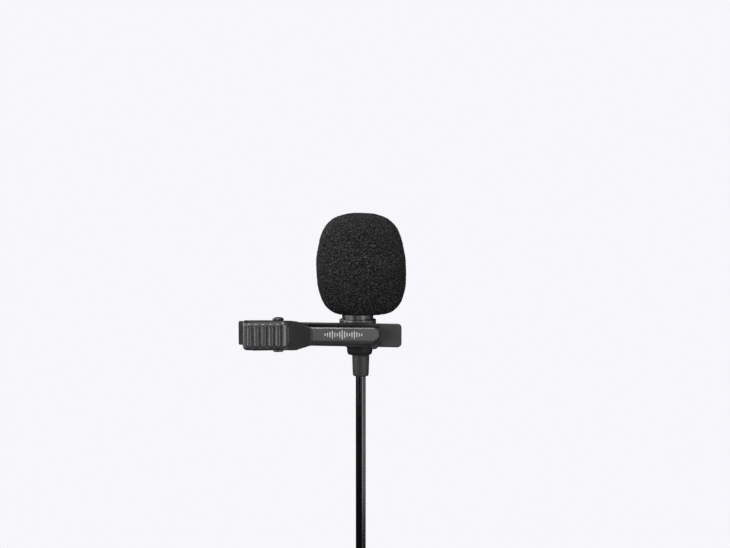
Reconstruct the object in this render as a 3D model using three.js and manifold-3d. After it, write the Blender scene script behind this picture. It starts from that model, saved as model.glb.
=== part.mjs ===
// Lavalier microphone: a foam-covered capsule in a slim tube, held by a C-ring
// on the back of a sprung tie clip, with a hanging cable wound into a coil and
// a four-pole 3.5 mm plug.
//
// Units are millimetres. +X runs along the clip towards its jaw tips, -Y faces
// the wearer's audience, +Z is up. The origin is the middle of the closed grip,
// on the plane where the two jaw pads meet.

import * as THREE from 'three';
import { mergeVertices } from 'three/addons/utils/BufferGeometryUtils.js';
import Module from 'manifold-3d';

const wasm = await Module();
wasm.setup();

// ---------------------------------------------------------------- dimensions
const GAP = 0.3;                 // clearance between neighbouring pieces

// axis of the tube and its ring; the foam, the end cap and the cable stand a
// little to the right of it
const MIC_X = -4.5;
const MIC_Y = 9.6;
const FOAM_DX = 1.2;
const END_CAP_DX = 0.7;
const CORD_DX = 1.05;
const CORD_X = MIC_X + CORD_DX;

// tube, collar and end cap
const TUBE_R = 5.3;
const TUBE_WALL = 0.6;
const TUBE_Z0 = -4.3;
const TUBE_Z1 = 26.0;
const COLLAR_R = 6.3;
const COLLAR_Z0 = 3.3;
const COLLAR_Z1 = 4.65;
const TAIL_CAP_R = 4.3;
const TAIL_CAP_Z0 = -7.6;
const TAIL_CAP_Z1 = -2.0;
const GRILLE_Z1 = 30.3;
const RELIEF_Z0 = -15.1;
const RELIEF_Z1 = -7.9;

// windscreen, [radius, height] from the bottom rim to the crown
const FOAM_BORE_R = 5.6;
const FOAM_BORE_Z1 = 31.0;
const FOAM = [
  [6.4, 6.35], [9.1, 6.9], [10.6, 7.6], [11.65, 8.4], [12.65, 9.5], [13.65, 11.3],
  [14.2, 12.9], [14.7, 14.7], [15.05, 16.6], [15.25, 19.2], [15.33, 22.2], [15.2, 25.4],
  [14.75, 28.6], [14.0, 32.1], [12.8, 35.3], [11.6, 37.2], [9.7, 39.0],
  [7.7, 40.1], [4.7, 40.95], [2.2, 41.17], [0, 41.2],
];

// capsule stack inside the tube
const CAPSULE_R = 3.0;
const CAPSULE_Z0 = 18.7;
const CAPSULE_Z1 = 23.7;

// clip: rear jaw
const BAR_HALF = 3.95;           // half height of the rear jaw
const BAR_Y0 = 0.6;
const BAR_T = 2.0;
const BAR_X1 = 11.9;
const BEND_X = -30.0;            // where the rear grip starts to flare
const GRIP_X0 = -45.7;
const GRIP_DY = 3.7;             // how far back the rear grip's end stands
const EAR_IN = 2.6;
const EAR_OUT = 3.65;

// clip: front jaw
const LEVER_HALF = 4.9;          // half height of the thumb grip
const ARM_Z0 = -2.9;             // lower and upper edge of the jaw arm
const ARM_Z1 = 3.15;
const WALL_IN = 4.25;            // inner face of the side walls
const PIN_X = -29.6;
const PIN_Y = -3.3;
const PIN_R = 1.0;
const PIN_HOLE_R = 1.3;
const ARM_TILT = Math.atan2(2.7, 23.6);

// jaw pads
const PAD_T = 1.0;

// torsion spring
const SPRING_R = 1.9;
const WIRE_R = 0.35;
const SPRING_Z = 1.95;

// cable, coil and plug
const CABLE_R = 1.75;
const COIL_Z = -113.0;
const COIL_Y = MIC_Y + 2.66;
const COIL_R = 19.9;             // middle of the turns
const TURN_PITCH = 3.55;
const TURNS_ACROSS = 4;
const BEND_R = 14.0;             // bend of the lead into the coil
const OUTER_TURN_R = COIL_R + 1.5 * TURN_PITCH;
const FRONT_TURN_Y = COIL_Y - 1.5 * TURN_PITCH;
const BACK_TURN_Y = COIL_Y + 1.5 * TURN_PITCH;
const JOIN = Math.asin(BEND_R / (BEND_R + OUTER_TURN_R));
const LEAD_BEND_Z = COIL_Z + (OUTER_TURN_R + BEND_R) * Math.cos(JOIN);
const PLUG_X = CORD_X + OUTER_TURN_R;
const PLUG_Y = BACK_TURN_Y;
const BOOT_Z1 = COIL_Z - 24.0;
const BOOT_Z0 = BOOT_Z1 - 12.0;
const SHELL_Z1 = BOOT_Z0 - GAP;
const SHELL_Z0 = SHELL_Z1 - 16.7;
const SHELL_R = 4.0;
const JACK_R = 1.75;

// ------------------------------------------------------------------- helpers
function toSolid(source) {
  let g = source.clone();
  for (const name of Object.keys(g.attributes)) if (name !== 'position') g.deleteAttribute(name);
  g = mergeVertices(g, 1e-4);
  const p = g.attributes.position.array;
  const at = (i, k) => p[3 * i + k];
  let tri = [];
  const idx = g.index.array;
  let volume = 0;
  for (let i = 0; i < idx.length; i += 3) {
    const [a, b, c] = [idx[i], idx[i + 1], idx[i + 2]];
    if (a === b || b === c || a === c) continue;
    tri.push(a, b, c);
    volume += at(a, 0) * (at(b, 1) * at(c, 2) - at(b, 2) * at(c, 1))
      - at(a, 1) * (at(b, 0) * at(c, 2) - at(b, 2) * at(c, 0))
      + at(a, 2) * (at(b, 0) * at(c, 1) - at(b, 1) * at(c, 0));
  }
  if (volume < 0) for (let i = 0; i < tri.length; i += 3) [tri[i], tri[i + 1]] = [tri[i + 1], tri[i]];
  return new wasm.Manifold(new wasm.Mesh({
    numProp: 3,
    vertProperties: new Float32Array(p),
    triVerts: new Uint32Array(tri),
  }));
}

function toGeometry(solid) {
  const m = solid.getMesh();
  const g = new THREE.BufferGeometry();
  const pos = new Float32Array((m.vertProperties.length / m.numProp) * 3);
  for (let i = 0; i < pos.length / 3; i++) {
    for (let k = 0; k < 3; k++) pos[3 * i + k] = m.vertProperties[m.numProp * i + k];
  }
  g.setAttribute('position', new THREE.BufferAttribute(pos, 3));
  g.setIndex(new THREE.BufferAttribute(new Uint32Array(m.triVerts), 1));
  g.computeVertexNormals();
  return g;
}

// a turned solid about +Z from [radius, height] points
function turned(points, segments = 28) {
  const g = new THREE.LatheGeometry(points.map(([r, z]) => new THREE.Vector2(r, z)), segments);
  g.rotateX(Math.PI / 2);
  return g;
}

const rod = (r, z0, z1, segments = 24) => turned([[0, z0], [r, z0], [r, z1], [0, z1]], segments);
const sleeve = (r0, r1, z0, z1, segments = 28) =>
  turned([[r0, z0], [r1, z0], [r1, z1], [r0, z1], [r0, z0]], segments);

function shapeOf(points) {
  const s = new THREE.Shape();
  points.forEach(([x, y], i) => (i ? s.lineTo(x, y) : s.moveTo(x, y)));
  s.closePath();
  return s;
}

// an XY outline with thickness along Z
function slabZ(shape, z0, z1, curveSegments = 8) {
  const g = new THREE.ExtrudeGeometry(shape, { depth: z1 - z0, bevelEnabled: false, curveSegments });
  g.translate(0, 0, z0);
  return g;
}

// an XZ outline with thickness along Y
function slabY(shape, y0, y1, curveSegments = 8) {
  const g = new THREE.ExtrudeGeometry(shape, { depth: y1 - y0, bevelEnabled: false, curveSegments });
  g.rotateX(Math.PI / 2);
  g.translate(0, y1, 0);
  return g;
}

function box(x0, x1, y0, y1, z0, z1) {
  const g = new THREE.BoxGeometry(x1 - x0, y1 - y0, z1 - z0);
  g.translate((x0 + x1) / 2, (y0 + y1) / 2, (z0 + z1) / 2);
  return g;
}

function tube(points, radius, sides, steps) {
  const circle = new THREE.Shape();
  for (let i = 0; i < sides; i++) {
    const a = (2 * Math.PI * i) / sides;
    if (i) circle.lineTo(radius * Math.cos(a), radius * Math.sin(a));
    else circle.moveTo(radius * Math.cos(a), radius * Math.sin(a));
  }
  circle.closePath();
  const path = new THREE.CatmullRomCurve3(points.map((p) => new THREE.Vector3(...p)), false, 'centripetal');
  return new THREE.ExtrudeGeometry(circle, { steps, bevelEnabled: false, extrudePath: path });
}

// a rectangle in XZ with four corner radii [top right, bottom right, bottom left, top left]
function rounded(x0, x1, z0, z1, [tr, br, bl, tl]) {
  const s = new THREE.Shape();
  s.moveTo(x0 + bl, z0);
  s.lineTo(x1 - br, z0);
  if (br) s.absarc(x1 - br, z0 + br, br, -Math.PI / 2, 0, false);
  s.lineTo(x1, z1 - tr);
  if (tr) s.absarc(x1 - tr, z1 - tr, tr, 0, Math.PI / 2, false);
  s.lineTo(x0 + tl, z1);
  if (tl) s.absarc(x0 + tl, z1 - tl, tl, Math.PI / 2, Math.PI, false);
  s.lineTo(x0, z0 + bl);
  if (bl) s.absarc(x0 + bl, z0 + bl, bl, Math.PI, 1.5 * Math.PI, false);
  return s;
}

const model = new THREE.Group();

function piece(parent, name, geometry, color, roughness, metalness = 0) {
  const mesh = new THREE.Mesh(geometry, new THREE.MeshStandardMaterial({ color, roughness, metalness }));
  mesh.name = name;
  parent.add(mesh);
  return mesh;
}

const turnedPiece = (parent, name, geometry, ...look) => piece(parent, name, toGeometry(toSolid(geometry)), ...look);

// ------------------------------------------------------------ the microphone
const mic = new THREE.Group();
mic.position.set(MIC_X, MIC_Y, 0);
model.add(mic);

// open-cell foam ball with a blind bore from below
{
  const ball = turned([[0, FOAM[0][1]], ...FOAM], 32);
  ball.translate(FOAM_DX, 0, 0);
  const outer = toSolid(ball);
  const bore = toSolid(turned([
    [0, FOAM[0][1] - 1], [FOAM_BORE_R, FOAM[0][1] - 1], [FOAM_BORE_R, FOAM_BORE_Z1 - 1.2],
    [FOAM_BORE_R - 1.2, FOAM_BORE_Z1], [0, FOAM_BORE_Z1],
  ], 24));
  piece(mic, 'windscreen', toGeometry(outer.subtract(bore)), 0x151515, 1.0);
}

turnedPiece(mic, 'housing_tube', sleeve(TUBE_R - TUBE_WALL, TUBE_R, TUBE_Z0, TUBE_Z1), 0x2a2a2c, 0.3, 0.8);
turnedPiece(mic, 'collar_ring', turned([
  [TUBE_R + GAP, COLLAR_Z0], [COLLAR_R, COLLAR_Z0], [COLLAR_R, COLLAR_Z1 - 0.3],
  [COLLAR_R - 0.3, COLLAR_Z1], [TUBE_R + GAP, COLLAR_Z1], [TUBE_R + GAP, COLLAR_Z0],
]), 0x2a2a2c, 0.3, 0.8);

// perforated cap over the capsule
{
  let cap = toSolid(turned([
    [TUBE_R - TUBE_WALL, TUBE_Z1 + GAP], [TUBE_R, TUBE_Z1 + GAP], [TUBE_R, GRILLE_Z1 - 1.0],
    [TUBE_R - 1.0, GRILLE_Z1], [0, GRILLE_Z1], [0, GRILLE_Z1 - 0.7],
    [TUBE_R - 1.3, GRILLE_Z1 - 0.7], [TUBE_R - TUBE_WALL, GRILLE_Z1 - 1.2],
    [TUBE_R - TUBE_WALL, TUBE_Z1 + GAP],
  ], 28));
  for (let i = 0; i < 7; i++) {
    const hole = rod(0.55, GRILLE_Z1 - 2, GRILLE_Z1 + 1, 10);
    const a = (Math.PI / 3) * i;
    if (i) hole.translate(2.3 * Math.cos(a), 2.3 * Math.sin(a), 0);
    cap = cap.subtract(toSolid(hole));
  }
  piece(mic, 'grille_cap', toGeometry(cap), 0x3a3a3c, 0.35, 0.9);
}

turnedPiece(mic, 'grille_cloth', rod(4.4, 24.8, 25.2), 0x101010, 1.0);
turnedPiece(mic, 'capsule_boot', sleeve(CAPSULE_R + GAP, 4.4, 17.4, 24.4), 0x161616, 0.8);
turnedPiece(mic, 'electret_capsule', turned([
  [0, CAPSULE_Z0], [CAPSULE_R, CAPSULE_Z0], [CAPSULE_R, CAPSULE_Z1 - 0.3],
  [CAPSULE_R - 0.3, CAPSULE_Z1], [0, CAPSULE_Z1],
]), 0xc4c6c8, 0.3, 1.0);
turnedPiece(mic, 'capsule_felt', rod(2.7, CAPSULE_Z1 + GAP, CAPSULE_Z1 + GAP + 0.4), 0x0c0c0c, 1.0);
turnedPiece(mic, 'capsule_board', rod(2.8, CAPSULE_Z0 - GAP - 0.8, CAPSULE_Z0 - GAP), 0x1d5b32, 0.5);
for (const [name, x, color] of [['signal_wire', -1.0, 0xa02020], ['shield_wire', 1.0, 0xb87333]]) {
  const wire = rod(0.45, 0.8, CAPSULE_Z0 - GAP - 0.8 - GAP, 8);
  wire.translate(x, 0, 0);
  turnedPiece(mic, name, wire, color, 0.5);
}

// end cap, crimp and strain relief round the cable's inner end
{
  const plug = toSolid(rod(TAIL_CAP_R, -5.0, TAIL_CAP_Z1, 28));
  const boss = turned([
    [0, TAIL_CAP_Z0], [3.9, TAIL_CAP_Z0], [4.2, TAIL_CAP_Z0 + 0.35], [4.4, TAIL_CAP_Z0 + 1.1],
    [4.5, TUBE_Z0 - GAP], [0, TUBE_Z0 - GAP],
  ], 28);
  boss.translate(END_CAP_DX, 0, 0);
  const bore = rod(CABLE_R + GAP, TAIL_CAP_Z0 - 1, TAIL_CAP_Z1 + 1, 20);
  bore.translate(CORD_DX, 0, 0);
  piece(mic, 'tail_cap', toGeometry(plug.add(toSolid(boss)).subtract(toSolid(bore))), 0x1c1c1d, 0.45);
}
const cordEnd = new THREE.Group();
cordEnd.position.set(CORD_DX, 0, 0);
mic.add(cordEnd);
turnedPiece(cordEnd, 'cable_crimp', sleeve(CABLE_R + GAP, 2.9, TAIL_CAP_Z1 + GAP, 0.2), 0xb08d3c, 0.35, 1.0);
turnedPiece(cordEnd, 'cable_stub', rod(CABLE_R, RELIEF_Z0, 0.5, 16), 0x121212, 0.5);
turnedPiece(cordEnd, 'strain_relief', turned([
  [CABLE_R + GAP, RELIEF_Z0], [2.5, RELIEF_Z0], [2.74, RELIEF_Z0 + 0.4], [2.79, RELIEF_Z0 + 1.1],
  [3.0, RELIEF_Z1], [CABLE_R + GAP, RELIEF_Z1], [CABLE_R + GAP, RELIEF_Z0],
]), 0x3c3c3e, 0.7);

// ------------------------------------------------------------- the rear jaw
// C-ring on the back of the jaw, open at the rear so the cable can slip in
{
  const ringOuter = toSolid(rod(6.6, -3.9, 3.0, 32));
  const ringBase = toSolid(box(-5, 5, BAR_Y0 + BAR_T + GAP - MIC_Y, -4.6, -3.4, 3.0));
  const bore = toSolid(rod(TUBE_R + GAP, -5, 4, 32));
  const slot = toSolid(box(-2.1, 2.1, 3, 8, -5, 4));
  const ring = piece(model, 'mic_ring', toGeometry(ringOuter.add(ringBase).subtract(bore).subtract(slot)),
    0x2e2e30, 0.4, 0.6);
  ring.position.set(MIC_X, MIC_Y, 0);
}

const PAD_X0 = -2.4;
const PAD_X1 = 4.9;
const PAD_HALF = 2.6;
{
  const flare = GRIP_DY / (BEND_X - GRIP_X0);
  const back = (x) => BAR_Y0 + BAR_T + (x < BEND_X ? (BEND_X - x) * flare : 0);
  const outline = [[BAR_X1, BAR_Y0], [BAR_X1, BAR_Y0 + BAR_T], [BEND_X, BAR_Y0 + BAR_T]];
  // finger ribs on the back of the grip
  for (let i = 0; i < 5; i++) {
    const x = BEND_X - 3.0 - i * 2.4;
    outline.push([x + 0.9, back(x + 0.9)], [x + 0.35, back(x) + 0.45], [x - 0.35, back(x) + 0.5], [x - 0.9, back(x - 0.9)]);
  }
  outline.push([GRIP_X0, back(GRIP_X0)], [GRIP_X0, back(GRIP_X0) - BAR_T], [BEND_X, BAR_Y0]);
  let jaw = toSolid(slabZ(shapeOf(outline), -BAR_HALF, BAR_HALF));
  // round the jaw tip and the grip's end as seen from the front
  jaw = jaw.intersect(toSolid(slabY(rounded(GRIP_X0, BAR_X1, -BAR_HALF, BAR_HALF, [1.3, 1.3, 0.4, 0.4]), -1, 9)));
  // ears for the hinge pin
  const ear = new THREE.Shape();
  ear.moveTo(-33.2, 2.0);
  ear.lineTo(PIN_X - 2.0, PIN_Y);
  ear.absarc(PIN_X, PIN_Y, 2.0, Math.PI, 2 * Math.PI, false);
  ear.lineTo(-26.0, 2.0);
  ear.closePath();
  jaw = jaw.add(toSolid(slabZ(ear, EAR_IN, EAR_OUT))).add(toSolid(slabZ(ear, -EAR_OUT, -EAR_IN)));
  const hole = rod(PIN_HOLE_R, -6, 6, 20);
  hole.translate(PIN_X, PIN_Y, 0);
  jaw = jaw.subtract(toSolid(hole));
  // pocket for the pad
  jaw = jaw.subtract(toSolid(box(PAD_X0 - GAP, PAD_X1 + GAP, BAR_Y0 - 1, 0.15 + PAD_T + GAP,
    -PAD_HALF - GAP, PAD_HALF + GAP)));
  piece(model, 'rear_jaw', toGeometry(jaw), 0x3f3f41, 0.5);
}
piece(model, 'rear_jaw_pad', toGeometry(toSolid(slabY(
  rounded(PAD_X0, PAD_X1, -PAD_HALF, PAD_HALF, [0.4, 0.4, 0.4, 0.4]), 0.15, 0.15 + PAD_T, 4))), 0x141414, 0.9);

// ------------------------------------------------------------- the front jaw
{
  // side profile, outer face first, with five thumb ribs
  const outline = [[-40.15, -9.9], [-39.95, -10.75], [-39.4, -11.25], [-38.95, -11.2]];
  const base = (x) => -7.7 + (x + 29.6) * 0.324;
  for (const x of [-37.75, -35.45, -33.15, -30.85, -28.55]) {
    outline.push([x - 1.0, base(x - 1.0)], [x - 0.8, base(x - 0.8) - 0.5], [x - 0.45, base(x - 0.45) - 0.66],
      [x + 0.45, base(x + 0.45) - 0.66], [x + 0.8, base(x + 0.8) - 0.5], [x + 1.0, base(x + 1.0)]);
  }
  outline.push([-27.1, base(-27.1)], [-26.7, -7.35], [-26.1, -7.3], [-25.2, -6.75], [-24.2, -6.5], [-18.0, -6.1],
    [5.6, -3.4], [5.6, -1.45], [-18.0, -4.1], [-23.5, -5.0], [-29.6, -6.2]);
  let jaw = toSolid(slabZ(shapeOf(outline), -LEVER_HALF, LEVER_HALF));
  // side walls round the pin
  const wall = new THREE.Shape();
  wall.moveTo(-36.5, -9.3);
  wall.lineTo(-31.9, PIN_Y + 0.9);
  wall.absarc(PIN_X, PIN_Y, 2.45, Math.PI * 0.87, Math.PI * 0.13, true);
  wall.lineTo(-24.2, -5.3);
  wall.lineTo(-26.5, -6.7);
  wall.lineTo(-30.0, -7.3);
  wall.closePath();
  jaw = jaw.add(toSolid(slabZ(wall, WALL_IN, LEVER_HALF))).add(toSolid(slabZ(wall, -LEVER_HALF, -WALL_IN)));
  // front outline: wide grip, shoulders, slim arm with a round tip
  const s = new THREE.Shape();
  const r = (ARM_Z1 - ARM_Z0) / 2;
  s.moveTo(-38.9, -LEVER_HALF);
  s.lineTo(-24.4, -LEVER_HALF);
  s.quadraticCurveTo(-23.2, -LEVER_HALF, -22.2, -LEVER_HALF + 0.35);
  s.lineTo(-18.2, ARM_Z0 - 0.2);
  s.quadraticCurveTo(-17.4, ARM_Z0, -16.4, ARM_Z0);
  s.lineTo(2.2, ARM_Z0);
  s.absarc(2.2, ARM_Z0 + r, r, -Math.PI / 2, Math.PI / 2, false);
  s.lineTo(-16.8, ARM_Z1);
  s.quadraticCurveTo(-17.8, ARM_Z1, -18.6, ARM_Z1 + 0.15);
  s.lineTo(-22.8, LEVER_HALF - 0.3);
  s.quadraticCurveTo(-24.0, LEVER_HALF, -25.0, LEVER_HALF);
  s.lineTo(-39.6, LEVER_HALF);
  s.quadraticCurveTo(-40.15, LEVER_HALF, -40.15, LEVER_HALF - 0.6);
  s.lineTo(-40.15, -LEVER_HALF + 1.3);
  s.quadraticCurveTo(-40.1, -LEVER_HALF, -38.9, -LEVER_HALF);
  jaw = jaw.intersect(toSolid(slabY(s, -14, 4, 6)));
  const hole = rod(PIN_HOLE_R, -6, 6, 20);
  hole.translate(PIN_X, PIN_Y, 0);
  jaw = jaw.subtract(toSolid(hole));
  piece(model, 'front_jaw', toGeometry(jaw), 0x4a4a4c, 0.5);
}

// wedge-shaped pad under the arm's tip, with a small tooth below the arm
{
  const inner = (x) => -1.45 + GAP - (5.6 - x) * (2.65 / 23.6);
  const wedge = toSolid(slabZ(shapeOf([[PAD_X0, inner(PAD_X0)], [PAD_X1, inner(PAD_X1)], [PAD_X1, -0.15], [PAD_X0, -0.15]]), -5, 5));
  const front = toSolid(slabY(rounded(PAD_X0, PAD_X1, -PAD_HALF, PAD_HALF, [0.9, 0.9, 0.3, 0.3]), -4, 4, 4));
  const tooth = toSolid(slabY(rounded(1.8, PAD_X1 - 0.4, -4.5, -2.0, [0, 1.3, 0.9, 0]), -4, 4, 4));
  piece(model, 'front_jaw_pad', toGeometry(wedge.intersect(front.add(tooth))), 0x2a2a2b, 0.6);
}

// raised nameplate on the arm
{
  const plate = new THREE.Group();
  plate.position.set(-6.2, -4.75 - GAP / Math.cos(ARM_TILT), 0.72);
  plate.rotation.z = ARM_TILT;
  model.add(plate);
  piece(plate, 'nameplate', toGeometry(toSolid(slabY(
    rounded(-11.6, 11.5, -2.4, 2.4, [2.38, 2.38, 0.4, 0.4]), -0.8, 0, 6))), 0x5a5a5c, 0.45);
}

// ---------------------------------------------------- pin, washer and spring
const hinge = new THREE.Group();
hinge.position.set(PIN_X, PIN_Y, 0);
model.add(hinge);
turnedPiece(hinge, 'hinge_pin', turned([
  [0, -5.85], [PIN_R - 0.2, -5.85], [PIN_R, -5.65], [PIN_R, LEVER_HALF + GAP], [1.92, LEVER_HALF + GAP],
  [1.92, 5.5], [1.5, 5.88], [0.8, 6.05], [0, 6.08],
], 20), 0x4c4c4e, 0.35, 0.9);
turnedPiece(hinge, 'pin_retainer', sleeve(PIN_HOLE_R, 1.75, -LEVER_HALF - GAP - 0.5, -LEVER_HALF - GAP, 20),
  0x3c3c3e, 0.4, 0.9);

{
  const rad = Math.PI / 180;
  const start = 290.1 * rad;
  const total = (139.5 + 4 * 360) * rad;
  const pts = [];
  // leg on the front grip
  const frontEnd = [-7.4, -4.74];
  const backEnd = [-8.4, 5.14];
  const touch = (a) => [SPRING_R * Math.cos(a), SPRING_R * Math.sin(a)];
  const [ax, ay] = touch(start);
  for (const t of [0, 0.35, 0.7]) pts.push([frontEnd[0] + (ax - frontEnd[0]) * t, frontEnd[1] + (ay - frontEnd[1]) * t, -SPRING_Z]);
  const n = 54;
  for (let i = 0; i <= n; i++) {
    const a = start + (total * i) / n;
    pts.push([SPRING_R * Math.cos(a), SPRING_R * Math.sin(a), -SPRING_Z + (2 * SPRING_Z * i) / n]);
  }
  const [bx, by] = touch(start + total);
  for (const t of [0.3, 0.65, 1]) pts.push([bx + (backEnd[0] - bx) * t, by + (backEnd[1] - by) * t, SPRING_Z]);
  turnedPiece(hinge, 'torsion_spring', tube(pts, WIRE_R, 6, 96), 0xb9bbbd, 0.3, 1.0);
}

// ---------------------------------------------------------- cable and its coil
// the lead drops straight, then swings into the coil's first turn
{
  const pts = [];
  const straight = 7;
  const top = RELIEF_Z0 - GAP;
  for (let i = 0; i <= straight; i++) pts.push([CORD_X, MIC_Y, top + ((LEAD_BEND_Z - top) * i) / straight]);
  const arc = (Math.PI / 2 - JOIN) * BEND_R;
  for (const deg of [12, 24, 37]) {
    const a = (deg * Math.PI) / 180;
    const f = (a * BEND_R) / arc;
    const y = MIC_Y + (FRONT_TURN_Y - MIC_Y) * f * f * (3 - 2 * f);
    pts.push([CORD_X + BEND_R - BEND_R * Math.cos(a), y, LEAD_BEND_Z - BEND_R * Math.sin(a)]);
  }
  turnedPiece(model, 'cable_lead', tube(pts, CABLE_R, 8, 14), 0x121212, 0.5);
}
{
  const h = (TURNS_ACROSS / 2) * TURN_PITCH;
  const r0 = COIL_R - h;
  const r1 = COIL_R + h;
  const c = 1.2;
  const ring = new THREE.LatheGeometry([
    [r0, -h + c], [r0 + c, -h], [r1 - c, -h], [r1, -h + c], [r1, h - c], [r1 - c, h], [r0 + c, h], [r0, h - c], [r0, -h + c],
  ].map(([r, y]) => new THREE.Vector2(r, y)), 40);
  ring.translate(CORD_X, COIL_Y, COIL_Z);
  turnedPiece(model, 'cable_coil', ring, 0x141414, 0.5);

  // strap round the bundle of turns
  const strap = new THREE.Group();
  strap.position.set(CORD_X, COIL_Y, COIL_Z);
  strap.rotation.y = (-32 * Math.PI) / 180;
  model.add(strap);
  const outer = toSolid(box(-3.5, 3.5, -h - GAP - 0.8, h + GAP + 0.8, r0 - GAP - 1.4, r1 + GAP + 0.9));
  const inner = toSolid(box(-5, 5, -h - GAP, h + GAP, r0 - GAP - 0.5, r1 + GAP));
  piece(strap, 'cable_tie', toGeometry(outer.subtract(inner)), 0x1a1a1a, 0.9);
}
turnedPiece(model, 'cable_tail', tube([
  [PLUG_X, PLUG_Y, COIL_Z - 13.7], [PLUG_X, PLUG_Y, COIL_Z - 19], [PLUG_X, PLUG_Y, BOOT_Z1 + GAP],
], CABLE_R, 8, 2), 0x121212, 0.5);

// ------------------------------------------------------------------- the plug
const plug = new THREE.Group();
plug.position.set(PLUG_X, PLUG_Y, 0);
model.add(plug);
turnedPiece(plug, 'plug_boot', turned([
  [0, BOOT_Z0], [3.6, BOOT_Z0], [3.5, BOOT_Z0 + 3], [2.7, BOOT_Z1 - 0.6], [2.4, BOOT_Z1], [0, BOOT_Z1],
], 24), 0x181818, 0.7);
turnedPiece(plug, 'plug_shell', turned([
  [0, SHELL_Z0 + 1], [JACK_R + 0.4, SHELL_Z0 + 1], [JACK_R + 0.4, SHELL_Z0],
  [SHELL_R - 0.5, SHELL_Z0], [SHELL_R, SHELL_Z0 + 0.5], [SHELL_R, SHELL_Z1 - 0.4],
  [SHELL_R - 0.4, SHELL_Z1], [0, SHELL_Z1],
], 28), 0x202022, 0.4, 0.6);
{
  let z = SHELL_Z0 + 1 - GAP;
  const stack = [
    ['plug_sleeve', 5.3, JACK_R, 0xd0b060, 1.0],
    ['plug_insulator_1', 0.5, JACK_R - 0.05, 0x151515, 0.0],
    ['plug_ring_2', 1.8, JACK_R, 0xd0b060, 1.0],
    ['plug_insulator_2', 0.5, JACK_R - 0.05, 0x151515, 0.0],
    ['plug_ring_1', 1.8, JACK_R, 0xd0b060, 1.0],
    ['plug_insulator_3', 0.5, JACK_R - 0.05, 0x151515, 0.0],
  ];
  for (const [name, length, r, color, metal] of stack) {
    turnedPiece(plug, name, rod(r, z - length, z, 20), color, metal ? 0.25 : 0.6, metal);
    z -= length + GAP;
  }
  turnedPiece(plug, 'plug_tip', turned([
    [0, z - 3.2], [0.45, z - 3.1], [1.15, z - 2.2], [JACK_R, z - 1.3], [1.35, z - 0.55], [1.3, z], [0, z],
  ], 20), 0xd0b060, 0.25, 1.0);
}

export default model;
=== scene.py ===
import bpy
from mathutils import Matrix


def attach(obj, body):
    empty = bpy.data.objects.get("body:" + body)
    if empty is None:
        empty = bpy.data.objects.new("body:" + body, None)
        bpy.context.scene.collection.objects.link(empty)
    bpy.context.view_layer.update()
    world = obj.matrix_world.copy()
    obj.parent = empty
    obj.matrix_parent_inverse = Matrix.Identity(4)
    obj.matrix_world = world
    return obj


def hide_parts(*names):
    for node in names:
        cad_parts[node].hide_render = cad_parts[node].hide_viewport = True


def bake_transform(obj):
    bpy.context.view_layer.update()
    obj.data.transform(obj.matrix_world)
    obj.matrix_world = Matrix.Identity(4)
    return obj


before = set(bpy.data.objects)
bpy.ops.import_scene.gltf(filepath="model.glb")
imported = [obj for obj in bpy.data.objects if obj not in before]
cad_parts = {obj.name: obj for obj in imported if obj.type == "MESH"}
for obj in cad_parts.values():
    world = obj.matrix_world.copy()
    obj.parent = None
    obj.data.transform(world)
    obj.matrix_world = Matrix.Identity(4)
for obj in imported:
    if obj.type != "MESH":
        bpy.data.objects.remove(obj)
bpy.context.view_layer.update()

import math
import random

import bpy
import bmesh
import numpy as np
from mathutils import Matrix, Vector, noise

MM = 0.001
random.seed(7)
rng = np.random.default_rng(7)

# ------------------------------------------------------------------ dimensions (mm, as in the CAD)
MIC_X, MIC_Y = -4.5, 9.6
CORD_X = MIC_X + 1.05
CAP_X = MIC_X + 0.7
FOAM_X = MIC_X + 1.2
TUBE_R = 5.3
RELIEF_Z0, RELIEF_Z1 = -15.1, -7.9
TAIL_CAP_Z0 = -7.6
CABLE_R = 1.75
COIL_Z = -113.0
COIL_Y = MIC_Y + 2.66
COIL_R = 19.9
PITCH = 3.55
BEND_R = 14.0
OUTER_R = COIL_R + 1.5 * PITCH
FRONT_Y = COIL_Y - 1.5 * PITCH
BACK_Y = COIL_Y + 1.5 * PITCH
JOIN = math.asin(BEND_R / (BEND_R + OUTER_R))
LEAD_BEND_Z = COIL_Z + (OUTER_R + BEND_R) * math.cos(JOIN)
PLUG_X, PLUG_Y = CORD_X + OUTER_R, BACK_Y
BOOT_Z1 = COIL_Z - 24.0
BOOT_Z0 = BOOT_Z1 - 12.0
PIN_X, PIN_Y = -29.6, -3.3
TILT = math.atan2(2.7, 23.6)

# ------------------------------------------------------------------ camera
AZ, EL, DIST = math.radians(10), math.radians(3.3), 0.45
TARGET = Vector((-1.95, 9.6, 20.25)) * MM
look = Vector((-math.sin(AZ) * math.cos(EL), math.cos(AZ) * math.cos(EL), -math.sin(EL)))
cam_data = bpy.data.cameras.new("camera")
cam = bpy.data.objects.new("camera", cam_data)
bpy.context.scene.collection.objects.link(cam)
cam.location = TARGET - look * DIST
cam.rotation_euler = look.to_track_quat("-Z", "Y").to_euler()
cam_data.sensor_width = 36.0
cam_data.lens = (450 / 0.3445) / 730 * 36.0
cam_data.clip_start = 0.01
bpy.context.scene.camera = cam

# ------------------------------------------------------------------ node helpers


def node_mat(name):
    m = bpy.data.materials.new(name)
    m.use_nodes = True
    nt = m.node_tree
    nt.nodes.clear()
    out = nt.nodes.new("ShaderNodeOutputMaterial")
    bsdf = nt.nodes.new("ShaderNodeBsdfPrincipled")
    nt.links.new(bsdf.outputs[0], out.inputs[0])
    coord = nt.nodes.new("ShaderNodeTexCoord")
    return m, nt, bsdf, coord


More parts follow.
